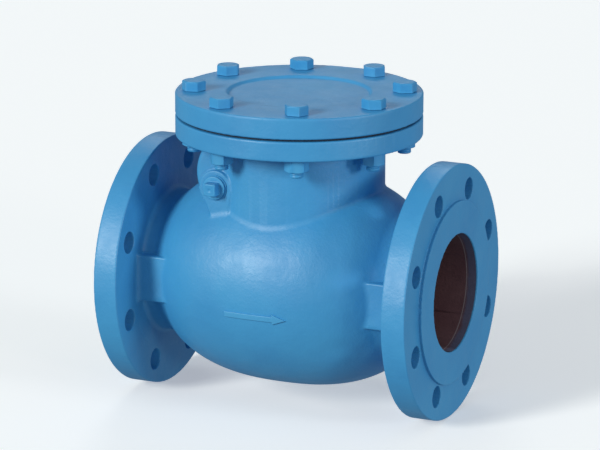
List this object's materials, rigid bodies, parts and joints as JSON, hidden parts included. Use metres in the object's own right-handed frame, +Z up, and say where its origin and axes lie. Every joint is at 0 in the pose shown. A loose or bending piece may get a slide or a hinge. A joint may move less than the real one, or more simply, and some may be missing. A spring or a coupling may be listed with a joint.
{
  "type": "swing check valve",
  "caption": "Blue painted cast-iron swing check valve: round flanged ends, bulbous body, bolted round cover and a hinged disc inside that swings open with the flow.",
  "frame": {"origin": "where the pipe axis crosses the vertical axis of the cover, halfway between the two flange faces", "axes": "+X along the pipe, from inlet to outlet; +Z up through the cover; -Y towards the side with the square plug"},
  "size_m": [0.292, 0.22, 0.2808],
  "materials": {
    "cast_paint": "blue epoxy coat over a sand casting, satin",
    "fastener_paint": "blue epoxy coat, satin",
    "gasket": "dark sheet gasket",
    "bronze": "machined bronze",
    "iron": "red-brown primer over cast iron",
    "steel": "machined stainless steel"
  },
  "bodies": {
    "casing": {"valve_body": "cast_paint", "bonnet_gasket": "gasket", "bonnet_cover": "cast_paint", "bonnet_bolt_1": "fastener_paint", "bonnet_bolt_2": "fastener_paint", "bonnet_bolt_3": "fastener_paint", "bonnet_bolt_4": "fastener_paint", "bonnet_bolt_5": "fastener_paint", "bonnet_bolt_6": "fastener_paint", "bonnet_bolt_7": "fastener_paint", "bonnet_bolt_8": "fastener_paint", "bonnet_nut_1": "fastener_paint", "bonnet_nut_2": "fastener_paint", "bonnet_nut_3": "fastener_paint", "bonnet_nut_4": "fastener_paint", "bonnet_nut_5": "fastener_paint", "bonnet_nut_6": "fastener_paint", "bonnet_nut_7": "fastener_paint", "bonnet_nut_8": "fastener_paint", "side_plug": "fastener_paint", "side_plug_gasket": "gasket", "hinge_pin": "steel", "seat_ring": "bronze"},
    "flap_arm": {"hinge_arm": "iron"},
    "flap_disc": {"disc": "iron", "disc_face_ring": "bronze", "disc_washer": "steel", "disc_nut": "steel", "split_pin": "steel"}
  },
  "joints": [
    {"name": "flap_swing", "type": "hinge", "parent": "casing", "child": "flap_arm", "pos_m": [-0.0488, 0, 0.087], "axis": [0, -1, 0], "range_deg": [0, 60]},
    {"name": "disc_spin", "type": "hinge", "parent": "flap_arm", "child": "flap_disc", "pos_m": [-0.05021, 0, 0], "axis": [0.9925, 0, 0.1219], "continuous": true}
  ]
}
